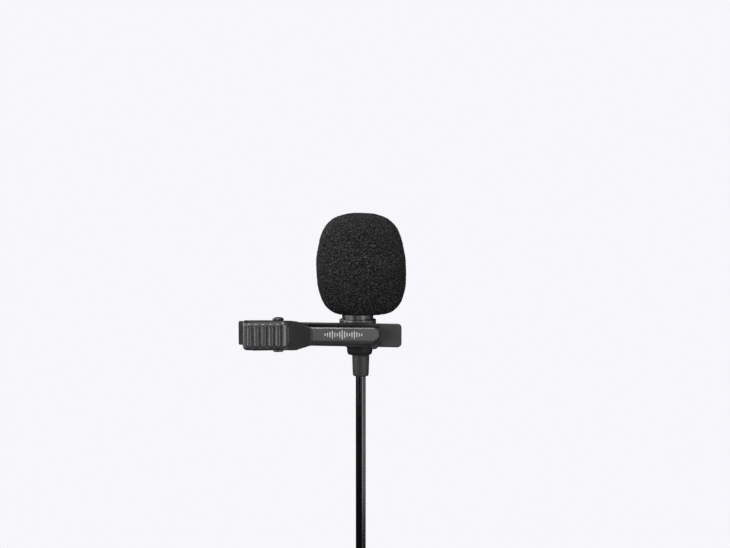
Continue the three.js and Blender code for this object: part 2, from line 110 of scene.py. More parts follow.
def tex_noise(nt, coord, scale, detail=3.0, rough=0.55, stretch=None):
    n = nt.nodes.new("ShaderNodeTexNoise")
    n.inputs["Scale"].default_value = scale
    n.inputs["Detail"].default_value = detail
    n.inputs["Roughness"].default_value = rough
    src = coord.outputs["Object"]
    if stretch:
        mp = nt.nodes.new("ShaderNodeMapping")
        mp.inputs["Scale"].default_value = stretch
        nt.links.new(src, mp.inputs["Vector"])
        src = mp.outputs[0]
    nt.links.new(src, n.inputs["Vector"])
    return n.outputs["Fac"]


def ramp(nt, fac, stops):
    r = nt.nodes.new("ShaderNodeValToRGB")
    while len(r.color_ramp.elements) < len(stops):
        r.color_ramp.elements.new(0.5)
    for e, (pos, col) in zip(r.color_ramp.elements, stops):
        e.position = pos
        e.color = (*col, 1.0) if len(col) == 3 else col
    nt.links.new(fac, r.inputs[0])
    return r.outputs[0]


def rescale(nt, fac, lo, hi, a=0.3, b=0.7):
    m = nt.nodes.new("ShaderNodeMapRange")
    m.inputs["From Min"].default_value = a
    m.inputs["From Max"].default_value = b
    m.inputs["To Min"].default_value = lo
    m.inputs["To Max"].default_value = hi
    nt.links.new(fac, m.inputs["Value"])
    return m.outputs[0]


def bump(nt, bsdf, height, distance, strength=1.0, prev=None):
    b = nt.nodes.new("ShaderNodeBump")
    b.inputs["Distance"].default_value = distance
    b.inputs["Strength"].default_value = strength
    nt.links.new(height, b.inputs["Height"])
    if prev:
        nt.links.new(prev, b.inputs["Normal"])
    nt.links.new(b.outputs[0], bsdf.inputs["Normal"])
    return b.outputs[0]


def grey(v, tint=(1, 1, 1.02)):
    return tuple(v * t for t in tint)


def moulded(name, base, rough=0.45, vary=0.12, grain=1900, grain_mm=0.012, metallic=0.0, spec=0.5, coat=0.0,
            smudge=140, wear=0.0, painted_light_shade=None, top_shade_rib_highlight=False):
    """A moulded or coated surface: fine grain in the bump, slow variation in colour and gloss, edges worn lighter,
    optional painted light and shade on the grips.
    """
    m, nt, bsdf, coord = node_mat(name)
    slow = tex_noise(nt, coord, smudge, 4.0)
    dark = tuple(c * (1 - vary) for c in base)
    light = tuple(min(1, c * (1 + vary)) for c in base)
    colour = ramp(nt, slow, [(0.32, dark), (0.68, light)])
    if wear:
        geo = nt.nodes.new("ShaderNodeNewGeometry")
        edge = rescale(nt, geo.outputs["Pointiness"], 0.0, wear, 0.52, 0.62)
        mix = nt.nodes.new("ShaderNodeMix")
        mix.data_type = "RGBA"
        nt.links.new(edge, mix.inputs["Factor"])
        nt.links.new(colour, mix.inputs[6])
        mix.inputs[7].default_value = (*[min(1, c * 2.2 + 0.02) for c in base], 1)
        colour = mix.outputs[2]
    # tone matched to the picture, beyond a given X
    if painted_light_shade:                      # painted light and shade, its tone fitted, beyond a given X
        sep = nt.nodes.new("ShaderNodeSeparateXYZ")
        nt.links.new(coord.outputs["Object"], sep.inputs[0])
        where = rescale(nt, sep.outputs["X"], 0.0, 1.0, painted_light_shade[0] * MM, painted_light_shade[1] * MM)
        for lo, hi in ((4.74, 4.6), (-4.5, -3.8)):
            both = nt.nodes.new("ShaderNodeMath")
            both.operation = "MULTIPLY"
            nt.links.new(where, both.inputs[0])
            nt.links.new(rescale(nt, sep.outputs["Z"], 0.0, 1.0, lo * MM, hi * MM), both.inputs[1])
            where = both.outputs[0]
        mix = nt.nodes.new("ShaderNodeMix")
        mix.data_type = "RGBA"
        nt.links.new(where, mix.inputs["Factor"])
        nt.links.new(colour, mix.inputs[6])
        mix.inputs[7].default_value = (*[c * painted_light_shade[2] for c in base], 1)
        colour = mix.outputs[2]
        if top_shade_rib_highlight:                # painted highlight: the ribs' upper ends are made lighter
            both = nt.nodes.new("ShaderNodeMath")
            both.operation = "MULTIPLY"
            nt.links.new(where, both.inputs[0])
            nt.links.new(rescale(nt, sep.outputs["Z"], 0.0, 0.85, 3.3 * MM, 4.1 * MM), both.inputs[1])
            ends = nt.nodes.new("ShaderNodeMath")
            ends.operation = "MULTIPLY"
            nt.links.new(both.outputs[0], ends.inputs[0])
            nt.links.new(rescale(nt, sep.outputs["X"], 0.0, 1.0, -27.2 * MM, -28.2 * MM), ends.inputs[1])
            mix = nt.nodes.new("ShaderNodeMix")
            mix.data_type = "RGBA"
            nt.links.new(ends.outputs[0], mix.inputs["Factor"])
            nt.links.new(colour, mix.inputs[6])
            mix.inputs[7].default_value = (*[c * painted_light_shade[2] * 2.6 for c in base], 1)
            colour = mix.outputs[2]
    bsdf.inputs["Specular IOR Level"].default_value = spec
    if top_shade_rib_highlight:                    # painted shade: the grip's top edge and the arm's upward faces are darkened, their specular lowered
        sep = nt.nodes.new("ShaderNodeSeparateXYZ")
        nt.links.new(coord.outputs["Normal"], sep.inputs[0])
        place = nt.nodes.new("ShaderNodeSeparateXYZ")
        nt.links.new(coord.outputs["Object"], place.inputs[0])
        arm = nt.nodes.new("ShaderNodeMath")
        arm.operation = "MULTIPLY"
        nt.links.new(rescale(nt, sep.outputs["Z"], 0.0, 1.0, 0.2, 0.45), arm.inputs[0])
        nt.links.new(rescale(nt, place.outputs["X"], 0.0, 1.0, -24.5 * MM, -23.5 * MM), arm.inputs[1])
        most = nt.nodes.new("ShaderNodeMath")
        most.operation = "MAXIMUM"
        nt.links.new(rescale(nt, place.outputs["Z"], 0.0, 1.0, 4.72 * MM, 4.92 * MM), most.inputs[0])
        nt.links.new(arm.outputs[0], most.inputs[1])
        up = most.outputs[0]
        mix = nt.nodes.new("ShaderNodeMix")
        mix.data_type = "RGBA"
        nt.links.new(up, mix.inputs["Factor"])
        nt.links.new(colour, mix.inputs[6])
        mix.inputs[7].default_value = (*[c * 0.6 for c in base], 1)
        colour = mix.outputs[2]
        nt.links.new(rescale(nt, up, spec, 0.08, 0.0, 1.0), bsdf.inputs["Specular IOR Level"])
    nt.links.new(colour, bsdf.inputs["Base Color"])
    fine = tex_noise(nt, coord, grain, 2.0)
    nt.links.new(rescale(nt, slow, rough * 0.85, min(1, rough * 1.15)), bsdf.inputs["Roughness"])
    bsdf.inputs["Metallic"].default_value = metallic
    if coat:
        bsdf.inputs["Coat Weight"].default_value = coat
        bsdf.inputs["Coat Roughness"].default_value = 0.12
    if grain_mm:
        bump(nt, bsdf, fine, grain_mm * MM, 1.0)
    return m


def brushed(name, base, rough=0.3, metallic=1.0, along=(1, 1, 30), scale=900, vary=0.15, depth=0.006):
    """Turned or drawn metal: noise stretched along the tool marks."""
    m, nt, bsdf, coord = node_mat(name)
    marks = tex_noise(nt, coord, scale, 3.0, 0.6, along)
    nt.links.new(ramp(nt, marks, [(0.3, tuple(c * (1 - vary) for c in base)), (0.7, tuple(min(1, c * (1 + vary)) for c in base))]),
                 bsdf.inputs["Base Color"])
    nt.links.new(rescale(nt, marks, rough * 0.75, rough * 1.3), bsdf.inputs["Roughness"])
    bsdf.inputs["Metallic"].default_value = metallic
    bump(nt, bsdf, marks, depth * MM, 1.0)
    return m


def woven(name, base, pitch=0.45, depth=0.05, rough=0.9):
    m, nt, bsdf, coord = node_mat(name)
    waves = []
    for axis in ("X", "Z"):
        w = nt.nodes.new("ShaderNodeTexWave")
        w.wave_type = "BANDS"
        w.bands_direction = axis
        w.inputs["Scale"].default_value = 1.0 / (pitch * MM) / 3.2
        w.inputs["Distortion"].default_value = 0.4
        nt.links.new(coord.outputs["Object"], w.inputs["Vector"])
        waves.append(w.outputs["Fac"])
    mul = nt.nodes.new("ShaderNodeMath")
    mul.operation = "MAXIMUM"
    nt.links.new(waves[0], mul.inputs[0])
    nt.links.new(waves[1], mul.inputs[1])
    nt.links.new(ramp(nt, mul.outputs[0], [(0.2, tuple(c * 0.5 for c in base)), (0.9, tuple(c * 1.5 for c in base))]),
                 bsdf.inputs["Base Color"])
    bsdf.inputs["Roughness"].default_value = rough
    bsdf.inputs["Sheen Weight"].default_value = 0.4
    bsdf.inputs["Sheen Roughness"].default_value = 0.5
    bump(nt, bsdf, mul.outputs[0], depth * MM, 1.0)
    return m


def foam_material():
    m, nt, bsdf, coord = node_mat("foam")
    walls = nt.nodes.new("ShaderNodeTexVoronoi")
    walls.feature = "DISTANCE_TO_EDGE"
    walls.inputs["Scale"].default_value = 2100
    warp = nt.nodes.new("ShaderNodeTexNoise")
    warp.inputs["Scale"].default_value = 2300
    warp.inputs["Detail"].default_value = 2.0
    nt.links.new(coord.outputs["Object"], warp.inputs["Vector"])
    shove = nt.nodes.new("ShaderNodeVectorMath")
    shove.operation = "MULTIPLY_ADD"
    nt.links.new(warp.outputs["Color"], shove.inputs[0])
    shove.inputs[1].default_value = (0.0005, 0.0005, 0.0005)
    nt.links.new(coord.outputs["Object"], shove.inputs[2])
    nt.links.new(shove.outputs[0], walls.inputs["Vector"])
    fine = tex_noise(nt, coord, 2900, 3.0, 0.75)
    speck = rescale(nt, fine, 0.0, 1.0, 0.42, 0.66)
    lit = nt.nodes.new("ShaderNodeMath")
    lit.operation = "MULTIPLY"
    nt.links.new(rescale(nt, walls.outputs["Distance"], 1.0, 0.0, 0.02, 0.20), lit.inputs[0])
    nt.links.new(speck, lit.inputs[1])
    place = nt.nodes.new("ShaderNodeSeparateXYZ")
    nt.links.new(coord.outputs["Object"], place.inputs[0])
    mix = nt.nodes.new("ShaderNodeMix")     # painted shade: the crown is darkened towards the top
    mix.data_type = "RGBA"
    mix.blend_type = "MULTIPLY"
    nt.links.new(rescale(nt, place.outputs["Z"], 0.0, 1.0, 24 * MM, 41 * MM), mix.inputs["Factor"])
    nt.links.new(ramp(nt, lit.outputs[0], [(0.0, (0.0070, 0.0070, 0.0072)), (0.25, (0.022, 0.022, 0.0224)),
                                           (0.9, (0.19, 0.19, 0.193))]), mix.inputs[6])
    mix.inputs[7].default_value = (0.62, 0.62, 0.62, 1)
    nt.links.new(mix.outputs[2], bsdf.inputs["Base Color"])
    bsdf.inputs["Roughness"].default_value = 0.9
    bsdf.inputs["Specular IOR Level"].default_value = 0.08
    b1 = bump(nt, bsdf, walls.outputs["Distance"], 0.25 * MM, 0.9)
    nt.nodes[-1].invert = True
    bump(nt, bsdf, fine, 0.15 * MM, 0.8, b1)
    return m


MAT = {
    "foam": foam_material(),
    # clip_rear: painted shade darkens the rear grip's end, from X -38 to -42
    "rear": moulded("clip_rear", grey(0.062), 0.48, 0.06, 1500, 0.008, spec=0.12, wear=0.15, painted_light_shade=(-38.0, -42.0, 0.62)),
    # clip_front: painted light on the grip's face, painted highlights on the rib ends, painted shade on the top edge
    # and the arm's upward faces
    "front": moulded("clip_front", grey(0.024), 0.29, 0.06, 1500, 0.007, wear=0.15, painted_light_shade=(-25.6, -26.4, 2.0), top_shade_rib_highlight=True),
    "plate": moulded("nameplate", grey(0.080), 0.28, 0.06, 2200, 0.006, wear=0.2),
    "print": moulded("print", grey(0.62), 0.5, 0.05, 2600, 0.004),
    "pad": moulded("pad_rubber", grey(0.02), 0.8, 0.15, 2400, 0.03),
    "collar": brushed("collar_metal", grey(0.15), 0.38, 0.8, (1, 1, 20), 700, 0.1, 0.002),
    "tube": brushed("tube_metal", grey(0.085), 0.36, 0.78, (1, 1, 20), 700, 0.1, 0.002),
    "ring": moulded("ring_metal", grey(0.06), 0.38, 0.1, 1500, 0.006, metallic=0.5),
    "tail": moulded("tail_cap", grey(0.006), 0.6, 0.15, 1500, 0.010, spec=0.35),
    "relief": moulded("relief_rubber", grey(0.032), 0.52, 0.08, 1700, 0.014),
    "cable": moulded("cable_jacket", grey(0.0015), 0.17, 0.3, 1300, 0.0004, spec=0.46, smudge=90),
    "strap": woven("strap", grey(0.022)),
    "cloth": woven("cloth", grey(0.014), 0.3, 0.03),
    "spring": brushed("spring_steel", (0.55, 0.55, 0.56), 0.28, 1.0, (1, 1, 6), 1500, 0.12, 0.004),
    "pin": brushed("pin_metal", grey(0.07), 0.3, 0.85, (1, 1, 8), 900, 0.12, 0.004),
    "boot": moulded("boot_rubber", grey(0.022), 0.55, 0.12, 1800, 0.02),
    "shell": brushed("shell_metal", grey(0.035), 0.32, 0.7, (1, 1, 14), 900, 0.12, 0.004),
    "gold": brushed("plug_gold", (0.80, 0.60, 0.27), 0.2, 1.0, (1, 1, 16), 900, 0.08, 0.003),
    "insulator": moulded("insulator", grey(0.014), 0.5, 0.1, 2000, 0.01),
    "grille": brushed("grille_metal", grey(0.12), 0.35, 0.9, (1, 1, 4), 1200, 0.15, 0.005),
    "can": brushed("capsule_can", (0.62, 0.63, 0.64), 0.25, 1.0, (1, 1, 12), 900, 0.1, 0.003),
    "board": moulded("board_laminate", (0.016, 0.10, 0.035), 0.4, 0.2, 1500, 0.01),
    "red": moulded("wire_red", (0.32, 0.018, 0.016), 0.45, 0.12, 1500, 0.01),
    "copper": brushed("wire_copper", (0.62, 0.32, 0.19), 0.35, 1.0, (1, 1, 4), 2500, 0.2, 0.01),
    "crimp": brushed("crimp_brass", (0.58, 0.44, 0.20), 0.3, 1.0, (1, 1, 10), 1200, 0.12, 0.004),
}

# ------------------------------------------------------------------ mesh helpers


def make(name, verts, faces, mat, body, slot, replaces=(), sharp=32, matrix=None, fix=True):
    v = np.asarray(verts, float)
    if matrix is not None:
        v = v @ np.array(matrix.to_3x3()).T + np.array(matrix.translation)
    me = bpy.data.meshes.new(name)
    me.from_pydata((v * MM).tolist(), [], [list(f) for f in faces])
    me.validate()
    bm = bmesh.new()
    bm.from_mesh(me)
    bmesh.ops.remove_doubles(bm, verts=bm.verts, dist=1e-7)
    bmesh.ops.dissolve_degenerate(bm, edges=bm.edges, dist=1e-8)
    if fix:
        bmesh.ops.recalc_face_normals(bm, faces=bm.faces)
    bm.to_mesh(me)
    bm.free()
    for p in me.polygons:
        p.use_smooth = True
    me.set_sharp_from_angle(angle=math.radians(sharp))
    o = bpy.data.objects.new(name, me)
    bpy.context.scene.collection.objects.link(o)
    me.materials.append(MAT[mat])
    if sharp < 100:
        even = o.modifiers.new("even", "WEIGHTED_NORMAL")
        even.keep_sharp = True
        even.weight = 80
    if body:
        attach(o, body)
    if replaces:
        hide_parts(*replaces)
    return o


def join_parts(parts):
    verts, faces = [], []
    for v, f in parts:
        k = len(verts)
        verts += [tuple(p) for p in v]
        faces += [[i + k for i in g] for g in f]
    return verts, faces


def lathe(profile, segs=96, centre=(0, 0), closed=False):
    """Turned about +Z. profile is [(r, z)], ends on the axis unless closed."""
    verts, rows = [], []
    for r, z in profile:
        if r < 1e-6:
            rows.append([len(verts)])
            verts.append((centre[0], centre[1], z))
        else:
            rows.append(list(range(len(verts), len(verts) + segs)))
            for i in range(segs):
                a = 2 * math.pi * i / segs
                verts.append((centre[0] + r * math.cos(a), centre[1] + r * math.sin(a), z))
    faces = []
    n = len(rows)
    for k in range(n if closed else n - 1):
        a, b = rows[k], rows[(k + 1) % n]
        for i in range(segs):
            j = (i + 1) % segs
            if len(a) == 1 and len(b) == 1:
                continue
            if len(a) == 1:
                faces.append([a[0], b[j], b[i]])
            elif len(b) == 1:
                faces.append([a[i], a[j], b[0]])
            else:
                faces.append([a[i], a[j], b[j], b[i]])
    return verts, faces


def soften(profile, r=0.12, steps=3, closed=False):
    """Rounds the corners of an [(r, z)] profile."""
    pts = [Vector(p) for p in profile]
    n = len(pts)
    out = []
    for i, p in enumerate(pts):
        if not closed and (i == 0 or i == n - 1):
            out.append(tuple(p))
            continue
        a, b = pts[(i - 1) % n], pts[(i + 1) % n]
        da, db = (a - p), (b - p)
        if da.length < 1e-6 or db.length < 1e-6 or abs(da.normalized().dot(db.normalized())) > 0.995:
            out.append(tuple(p))
            continue
        q = min(r, 0.45 * da.length, 0.45 * db.length)
        p0, p1 = p + da.normalized() * q, p + db.normalized() * q
        for k in range(steps + 1):
            t = k / steps
            out.append(tuple((1 - t) ** 2 * p0 + 2 * t * (1 - t) * p + t * t * p1))
    return out


def loft(sections, caps=True):
    n = len(sections[0])
    verts = [p for s in sections for p in s]
    faces = []
    for k in range(len(sections) - 1):
        for i in range(n):
            j = (i + 1) % n
            faces.append([k * n + i, k * n + j, (k + 1) * n + j, (k + 1) * n + i])
    if caps:
        faces.append(list(range(n))[::-1])
        faces.append([(len(sections) - 1) * n + i for i in range(n)])
    return verts, faces


def arc(cx, cy, r, a0, a1, n):
    return [(cx + r * math.cos(math.radians(a0 + (a1 - a0) * i / n)), cy + r * math.sin(math.radians(a0 + (a1 - a0) * i / n)))
            for i in range(n + 1)]


def dense(points, step=0.4):
    """Even points along a closed 2-D outline."""
    out = []
    n = len(points)
    for i in range(n):
        a, b = np.array(points[i]), np.array(points[(i + 1) % n])
        d = np.linalg.norm(b - a)
        if d < 1e-7:
            continue
        k = max(1, int(math.ceil(d / step)))
        out += [tuple(a + (b - a) * t / k) for t in range(k)]
    return out


def inward(points, d):
    """The outline moved in by d along its vertex normals (counter-clockwise outline)."""
    p = np.array(points)
    t = np.roll(p, -1, 0) - np.roll(p, 1, 0)
    t /= np.maximum(np.linalg.norm(t, axis=1)[:, None], 1e-9)
    nrm = np.stack([-t[:, 1], t[:, 0]], 1)
    return p + nrm * d


def area2(points):
    p = np.array(points)
    q = np.roll(p, -1, 0)
    return 0.5 * float((p[:, 0] * q[:, 1] - q[:, 0] * p[:, 1]).sum())


def slab(outline, lo, hi, bevel_lo=0.2, bevel_hi=0.2, plane="xz", steps=4, step=0.4):
    """A plate with rounded edges. plane xz: thickness along Y; plane xy: thickness along Z."""
    if area2(outline) < 0:
        outline = outline[::-1]
    pts = dense(outline, step)
    rings = []
    for k in range(steps + 1):
        a = math.pi / 2 * k / steps
        rings.append((lo + bevel_lo * (1 - math.sin(a)), bevel_lo * (1 - math.cos(a))) if False else
                     (lo + bevel_lo * (1 - math.cos(a)), bevel_lo * (1 - math.sin(a))))
    for k in range(steps + 1):
        a = math.pi / 2 * k / steps
        rings.append((hi - bevel_hi * (1 - math.sin(a)), bevel_hi * (1 - math.cos(a))))
    sections = []
    for h, d in rings:
        q = inward(pts, d) if d > 1e-9 else np.array(pts)
        sections.append([(x, h, z) if plane == "xz" else (x, z, h) for x, z in q])
    return loft(sections)


def tube_along(points, r, sides=10, closed_ends=True):
    pts = [Vector(p) for p in points]
    n = len(pts)
    tang = [((pts[min(i + 1, n - 1)] - pts[max(i - 1, 0)]).normalized()) for i in range(n)]
    up = Vector((0, 0, 1)) if abs(tang[0].z) < 0.9 else Vector((1, 0, 0))
    u = (up - tang[0] * up.dot(tang[0])).normalized()
    sections = []
    for i in range(n):
        u = (u - tang[i] * u.dot(tang[i])).normalized()
        w = tang[i].cross(u)
        rr = r[i] if hasattr(r, "__len__") else r
        sections.append([tuple(pts[i] + (u * math.cos(2 * math.pi * k / sides) + w * math.sin(2 * math.pi * k / sides)) * rr)
                         for k in range(sides)])
    return loft(sections, closed_ends)


def smooth(t):
    t = min(1.0, max(0.0, t))
    return t * t * (3 - 2 * t)


def interp(x, table):
    if x <= table[0][0]:
        return table[0][1]
    for (a, va), (b, vb) in zip(table, table[1:]):
        if x <= b:
            return va + (vb - va) * (x - a) / (b - a)
    return table[-1][1]


# ------------------------------------------------------------------ the cable
SLOTS = []
for col in range(4):
    order = (3, 2, 1, 0) if col % 2 == 0 else (0, 1, 2, 3)
    SLOTS += [(i, col) for i in order]


def cable_route():
    pts = []
    z0 = RELIEF_Z0 + 1.0
    n = 24
    for i in range(n):
        pts.append((CORD_X, MIC_Y, z0 + (LEAD_BEND_Z - z0) * i / n))
    turn = math.pi / 2 - JOIN
    for i in range(24):
        a = turn * i / 24
        f = i / 24
        y = MIC_Y + (FRONT_Y - MIC_Y) * smooth(f)
        pts.append((CORD_X + BEND_R * (1 - math.cos(a)), y, LEAD_BEND_Z - BEND_R * math.sin(a)))
    start, end = math.degrees(JOIN), 15 * 360 + 90.0
    steps = 15 * 72 + 16
    half = 52.0
    for i in range(steps + 1):
        deg = start + (end - start) * i / steps
        k = int(math.floor((deg - 270 + 180) / 360.0))       # nearest crossing zone
        k = max(0, min(14, k))
        centre = 270 + 360 * k
        w = smooth((deg - centre + half) / (2 * half))
        (i0, c0), (i1, c1) = SLOTS[k], SLOTS[k + 1]
        idx = i0 + (i1 - i0) * w
        col = c0 + (c1 - c0) * w
        if c0 != c1:
            side = -1 if i0 == 0 else 1
            idx += side * 0.42 * max(0.0, math.sin(math.pi * w)) ** 0.6
        r = COIL_R + (idx - 1.5) * PITCH
        y = COIL_Y + (col - 1.5) * PITCH
        a = math.radians(deg)
        pts.append((CORD_X + r * math.sin(a), y, COIL_Z + r * math.cos(a)))
    z1 = BOOT_Z1 - 1.5
    for i in range(1, 9):
        pts.append((PLUG_X, PLUG_Y, COIL_Z + (z1 - COIL_Z) * i / 8))
    return pts


route = cable_route()
LENGTH = sum((Vector(a) - Vector(b)).length for a, b in zip(route, route[1:])) * MM
curve = bpy.data.curves.new("cable", "CURVE")
curve.dimensions = "3D"
spline = curve.splines.new("POLY")
spline.points.add(len(route) - 1)
for p, q in zip(spline.points, route):
    p.co = (q[0] * MM, q[1] * MM, q[2] * MM, 1)
curve.bevel_depth = CABLE_R * MM
curve.bevel_resolution = 8
curve.use_fill_caps = True
spline.use_smooth = True
curve.materials.append(MAT["cable"])
cable = bpy.data.objects.new("cable", curve)
bpy.context.scene.collection.objects.link(cable)
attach(cable, "microphone")
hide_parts("cable_lead", "cable_coil", "cable_tail")

# strap round the bundle of turns
h = 2 * PITCH
strap_m = Matrix.Translation((CORD_X, COIL_Y, COIL_Z)) @ Matrix.Rotation(math.radians(-32), 4, "Y")


def strap_ring(off):
    y0, y1, z0, z1 = -h - off, h + off, COIL_R - h - off, COIL_R + h + off
    r = 1.3 + off
    return arc(y1 - r, z1 - r, r, 0, 90, 6) + arc(y0 + r, z1 - r, r, 90, 180, 6) + arc(y0 + r, z0 + r, r, 180, 270, 6) + arc(y1 - r, z0 + r, r, 270, 360, 6)


strap_profile = [(-3.2, 0.08), (-3.4, 0.35), (-3.2, 0.62), (0, 0.66), (3.2, 0.62), (3.4, 0.35), (3.2, 0.08), (0, 0.05)]
rings = [strap_ring(o) for _, o in strap_profile]
n_ring = len(rings[0])
sv, sf = [], []
for (x, _), ring in zip(strap_profile, rings):
    sv += [(x, y, z) for y, z in ring]
m_ring = len(strap_profile)
for a in range(m_ring):
    b = (a + 1) % m_ring
    for i in range(n_ring):
        j = (i + 1) % n_ring
        sf.append([a * n_ring + i, a * n_ring + j, b * n_ring + j, b * n_ring + i])
# loose end of the strap, pressed flat over the outside
tab = slab([(-3.1, -4.5), (3.1, -4.5), (3.1, 3.6), (2.4, 4.6), (-2.4, 4.6), (-3.1, 3.6)], COIL_R + h + 0.62, COIL_R + h + 0.95, 0.1, 0.12, "xy", 3, 0.6)
strap_parts = join_parts([(sv, sf), tab])
strap = make("strap", *strap_parts, "strap", "microphone", "strap", ["cable_tie"], 40, strap_m)

# ------------------------------------------------------------------ plug
boot_prof = [(0, BOOT_Z0), (3.55, BOOT_Z0), (3.55, BOOT_Z0 + 2.2)]
z = BOOT_Z0 + 2.6
for k in range(6):
    r = 3.45 - 0.15 * k
    boot_prof += [(r - 0.35, z), (r - 0.35, z + 0.45), (r, z + 0.75), (r - 0.04, z + 1.35)]
    z += 1.4
boot_prof += [(2.45, BOOT_Z1 - 0.4), (2.2, BOOT_Z1), (1.8, BOOT_Z1), (1.8, BOOT_Z1 - 1.2), (0, BOOT_Z1 - 1.2)]
v, f = lathe(soften(boot_prof, 0.15), 64, (PLUG_X, PLUG_Y))
boot = make("plug_boot_v", v, f, "boot", "microphone", "boot_rubber", ["plug_boot"])
SH1 = BOOT_Z0
SH0 = BOOT_Z0 - 0.3 - 16.7
shell_prof = [(0, SH0 + 1.0), (2.1, SH0 + 1.0), (2.15, SH0), (3.4, SH0), (3.95, SH0 + 0.5), (3.95, SH0 + 2.2), (3.75, SH0 + 2.35), (3.75, SH0 + 2.7), (3.95, SH0 + 2.85)]
z = SH0 + 4.6
for k in range(9):
    shell_prof += [(3.95, z), (3.8, z + 0.18), (3.8, z + 0.38), (3.95, z + 0.56)]
    z += 0.8
shell_prof += [(3.95, SH1 - 1.0), (3.6, SH1 - 0.1), (0, SH1 - 0.1)]
v, f = lathe(soften(shell_prof, 0.08), 96, (PLUG_X, PLUG_Y))
shell = make("plug_shell_v", v, f, "shell", "microphone", "shell_black", ["plug_shell"])
z = SH0 + 0.7
for name, ln, r, mat, slot in (("plug_sleeve", 5.3, 1.75, "gold", "plug_gold"), ("plug_insulator_1", 0.5, 1.7, "insulator", "insulator"),
                               ("plug_ring_2", 1.8, 1.75, "gold", "plug_gold"), ("plug_insulator_2", 0.5, 1.7, "insulator", "insulator"),
                               ("plug_ring_1", 1.8, 1.75, "gold", "plug_gold"), ("plug_insulator_3", 0.5, 1.7, "insulator", "insulator")):
    top = z + 0.3
    bot = z - ln
    v, f = lathe(soften([(0, bot), (r, bot), (r, top), (0, top)], 0.06), 64, (PLUG_X, PLUG_Y))
    make(name + "_v", v, f, mat, "microphone", slot, [name])
    z -= ln + 0.3
tip = [(0, z - 3.2), (0.25, z - 3.17), (0.5, z - 3.05), (1.15, z - 2.25), (1.65, z - 1.5), (1.74, z - 1.25), (1.6, z - 0.95), (1.38, z - 0.7),
       (1.33, z - 0.3), (1.4, z + 0.3), (0, z + 0.3)]
v, f = lathe(soften(tip, 0.12), 64, (PLUG_X, PLUG_Y))
make("plug_tip_v", v, f, "gold", "microphone", "plug_gold", ["plug_tip"])

# ------------------------------------------------------------------ windscreen
FOAM = [(5.7, 6.55), (6.5, 6.45), (9.1, 6.95), (10.6, 7.6), (11.65, 8.4), (12.65, 9.5), (13.65, 11.3),
        (14.2, 12.9), (14.7, 14.7), (15.05, 16.6), (15.25, 19.2), (15.33, 22.2), (15.2, 25.4), (14.75, 28.6), (14.0, 32.1),
        (12.8, 35.3), (11.6, 37.2), (9.7, 39.0), (7.7, 40.05), (4.7, 40.9), (2.2, 41.13), (0, 41.18)]


def catmull(points, n):
    p = [np.array(points[0], float) * 2 - np.array(points[1], float)] + [np.array(q, float) for q in points]
    p.append(p[-1] * 2 - p[-2])
    out = []
    for i in range(1, len(p) - 2):
        for k in range(12):
            t = k / 12
            a, b, c, d = p[i - 1], p[i], p[i + 1], p[i + 2]
            out.append(0.5 * ((2 * b) + (-a + c) * t + (2 * a - 5 * b + 4 * c - d) * t * t + (-a + 3 * b - 3 * c + d) * t ** 3))
    out.append(p[-2])
    out = np.array(out)
    s = np.concatenate([[0], np.cumsum(np.linalg.norm(np.diff(out, axis=0), axis=1))])
    t = np.linspace(0, s[-1], n)
    return np.stack([np.interp(t, s, out[:, 0]), np.interp(t, s, out[:, 1])], 1)


def foam_mesh():
    rows, segs = 230, 420
    prof = catmull(FOAM, rows)
    prof[:, 0] = np.maximum(prof[:, 0], 0)
    verts, faces = [], []
    prev = None
    tz = np.gradient(prof, axis=0)
    tz /= np.linalg.norm(tz, axis=1)[:, None]
    nr = np.stack([tz[:, 1], -tz[:, 0]], 1)
    for k in range(rows):
        r, zz = prof[k]
        lean = (24.0 - zz) * 0.02          # pushed on a little askew
        fade = smooth((k - 2) / 7.0)
        row = []
        if r < 1e-3:
            row = [len(verts)]
            verts.append((FOAM_X + lean, MIC_Y, zz))
        else:
            for i in range(segs):
                a = 2 * math.pi * i / segs
                p = Vector((r * math.cos(a), r * math.sin(a), zz))
                lump = noise.noise(p * 0.16) * 0.12 + noise.noise(p * 0.5 + Vector((9, 3, 1))) * 0.06
                cell = noise.voronoi(p * 1.15)[0]
                pit = max(0.0, 0.5 - cell[0]) * 0.5
                wall = -0.14 * min(1.0, (cell[1] - cell[0]) * 3)
                fuzz = noise.noise(p * 3.6) * 0.09
                d = (lump - pit + wall + 0.16 + fuzz) * fade
                shift = FOAM_X - MIC_X + lean
                shift *= smooth((r - 5.7) / 3.0) if zz < 12 else 1.0
                row.append(len(verts))
                verts.append((MIC_X + shift + (r + nr[k][0] * d) * math.cos(a), MIC_Y + (r + nr[k][0] * d) * math.sin(a), zz + nr[k][1] * d))
        if prev:
            for i in range(segs):
                j = (i + 1) % segs
                if len(row) == 1:
                    faces.append([prev[i], prev[j], row[0]])
                else:
                    faces.append([prev[i], prev[j], row[j], row[i]])
        else:
            first = row
        prev = row
    # the blind bore
    ring = first
    for r, zz in ((5.4, 6.8), (5.36, 12.0), (5.36, 20.0), (5.36, 29.6), (4.6, 30.6), (3.0, 30.9)):
        new = list(range(len(verts), len(verts) + segs))
        for i in range(segs):
            a = 2 * math.pi * i / segs
            verts.append((MIC_X + r * math.cos(a), MIC_Y + r * math.sin(a), zz))
        for i in range(segs):
            j = (i + 1) % segs
            faces.append([ring[j], ring[i], new[i], new[j]])
        ring = new
    faces.append(ring)
    return verts, faces


v, f = foam_mesh()
foam = make("windscreen_v", v, f, "foam", "windscreen", "foam", ["windscreen"], 180)

